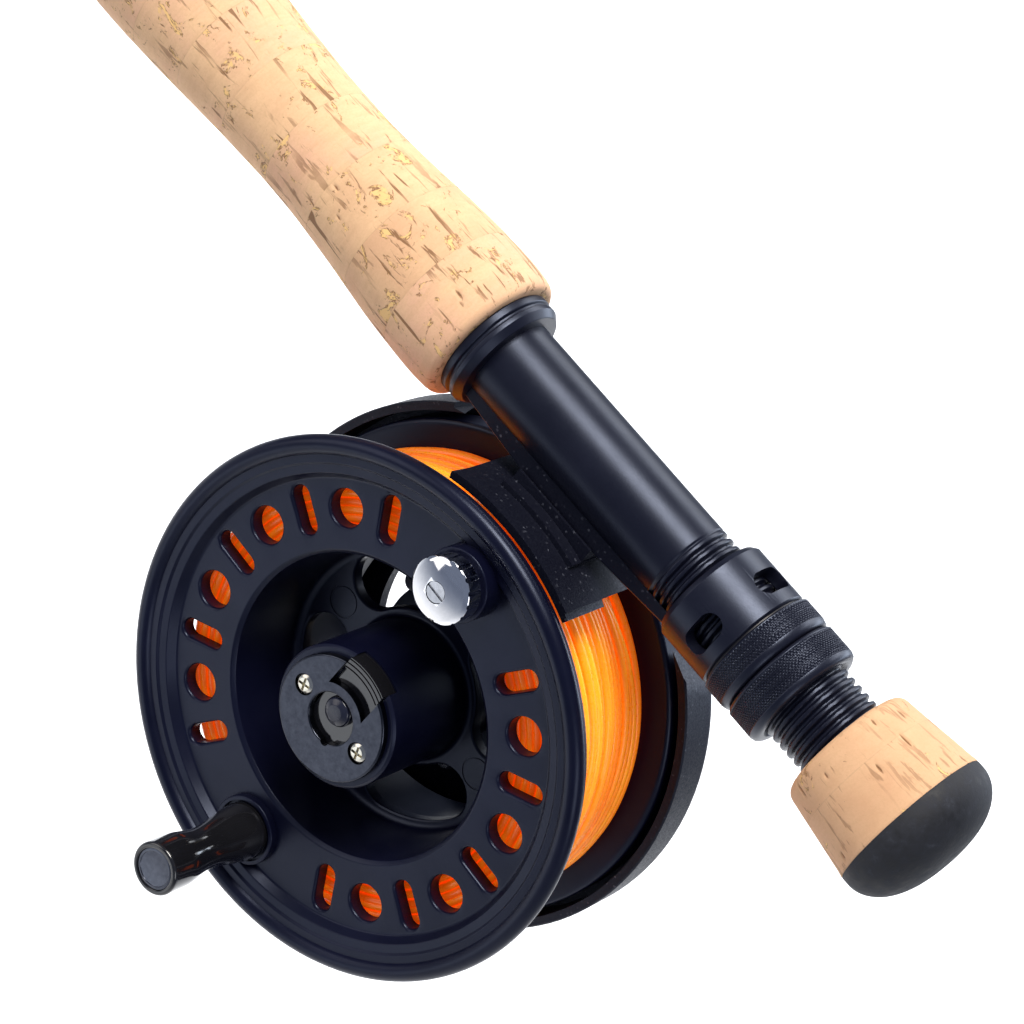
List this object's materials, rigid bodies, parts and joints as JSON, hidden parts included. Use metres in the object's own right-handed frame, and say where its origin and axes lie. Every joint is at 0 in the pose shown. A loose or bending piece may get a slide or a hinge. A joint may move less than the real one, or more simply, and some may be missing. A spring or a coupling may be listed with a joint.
{
  "type": "fishing rod and reel",
  "caption": "Butt section of a fly fishing rod with cork grip, screw-lock reel seat and fighting butt, carrying a large-arbor fly reel wound with line.",
  "frame": {"origin": "on the rod's axis at the middle of the cork grip, where the hand holds it", "axes": "+X along the rod towards the butt, +Z away from the reel, the reel's crank side faces -Y"},
  "size_m": [0.4289, 0.083, 0.13],
  "materials": {
    "blank": "gloss clear coat over dark graphite",
    "spigot": "ground graphite",
    "wraps": "dark thread under clear varnish",
    "black_anodised": "satin black anodised",
    "cork": "sanded natural cork",
    "bushing": "fibre filler",
    "steel": "machined",
    "bright": "polished",
    "brass": "machined",
    "washer_plastic": "plain",
    "rubber": "matte mottled",
    "powder": "black with a fine sparkle",
    "drag_face": "cork and rubber lining",
    "spool_black": "satin dark blue-black anodised",
    "backing": "braided",
    "line": "coated",
    "gunmetal": "polished gunmetal",
    "gloss_black": "high gloss"
  },
  "bodies": {
    "rod": {"blank": "blank", "ferrule_spigot": "spigot", "ferrule_wrap": "wraps", "winding_check": "black_anodised", "hook_keeper": "steel", "keeper_wraps": "wraps", "cork_grip": "cork", "seat_tube": "black_anodised", "seat_bushings": "bushing", "fixed_hood": "black_anodised", "butt_cork": "cork", "butt_cap": "rubber", "reel_frame": "powder", "reel_foot": "powder", "foot_screws": "steel", "spindle": "steel", "spindle_nut": "steel", "pressure_plate": "steel", "drag_washers": "drag_face", "drag_cover": "black_anodised", "cover_screws": "steel", "pawl_post": "steel", "pawl_spring": "steel", "knob_clip": "steel"},
    "hood": {"sliding_hood": "black_anodised", "slip_washer": "washer_plastic"},
    "nut": {"lock_nut": "black_anodised"},
    "jam": {"jam_nut": "black_anodised"},
    "reel_spool": {"spool": "spool_black", "spool_bushings": "brass", "backing_line": "backing", "fly_line": "line", "hub_cap": "gunmetal", "hub_cap_screws": "steel", "latch_spring": "steel", "handle_post": "steel", "counterweight": "bright", "counterweight_screw": "steel", "drive_hub": "brass", "click_gear": "steel"},
    "handle": {"handle_knob": "gloss_black", "handle_end_cap": "gunmetal"},
    "latch": {"spool_latch": "gloss_black"},
    "drag_rotor": {"drag_disc": "steel", "one_way_clutch": "steel"},
    "knob": {"drag_knob": "black_anodised"},
    "spider": {"push_spider": "steel", "drag_springs": "steel"},
    "pawl": {"click_pawl": "brass"}
  },
  "joints": [
    {"name": "hood_slide", "type": "slide", "parent": "rod", "child": "hood", "axis": [1, 0, 0], "range_m": [0, 0.0085]},
    {"name": "lock_nut_turn", "type": "hinge", "parent": "hood", "child": "nut", "pos_m": [0.165, 0, 0], "axis": [1, 0, 0], "range_deg": [0, 1699]},
    {"name": "jam_nut_turn", "type": "hinge", "parent": "hood", "child": "jam", "pos_m": [0.172, 0, 0], "axis": [1, 0, 0], "range_deg": [0, 1699]},
    {"name": "spool_spin", "type": "hinge", "parent": "rod", "child": "reel_spool", "pos_m": [0.12, 0, -0.0628], "axis": [0, -1, 0], "continuous": true},
    {"name": "handle_spin", "type": "hinge", "parent": "reel_spool", "child": "handle", "pos_m": [0.11838, -0.03, -0.10157], "axis": [0, -1, 0], "continuous": true},
    {"name": "latch_slide", "type": "slide", "parent": "reel_spool", "child": "latch", "axis": [-0.0419, 0, -0.9991], "range_m": [0, 0.0015], "stiffness_N_per_m": 400, "springref_m": -0.002, "deforming": ["latch_spring"]},
    {"name": "drag_rotor_spin", "type": "hinge", "parent": "rod", "child": "drag_rotor", "pos_m": [0.12, 0.016, -0.0628], "axis": [0, -1, 0], "continuous": true},
    {"name": "drag_knob_turn", "type": "hinge", "parent": "rod", "child": "knob", "pos_m": [0.12, 0.03, -0.0628], "axis": [0, 1, 0], "range_deg": [-300, 0]},
    {"name": "spider_slide", "type": "slide", "parent": "rod", "child": "spider", "axis": [0, 1, 0], "range_m": [0, 0.0007]},
    {"name": "pawl_swing", "type": "hinge", "parent": "rod", "child": "pawl", "pos_m": [0.1067, 0.01, -0.07982], "axis": [0, -1, 0], "range_deg": [-8, 8], "stiffness_Nm_per_rad": 0.02}
  ],
  "couplings": [
    {"joint": "hood_slide", "follows": "lock_nut_turn", "m_per_rad": 0.00028648},
    {"joint": "jam_nut_turn", "follows": "lock_nut_turn", "ratio": 1},
    {"joint": "drag_rotor_spin", "follows": "spool_spin", "ratio": 1},
    {"joint": "spider_slide", "follows": "drag_knob_turn", "m_per_rad": -0.00012732}
  ]
}
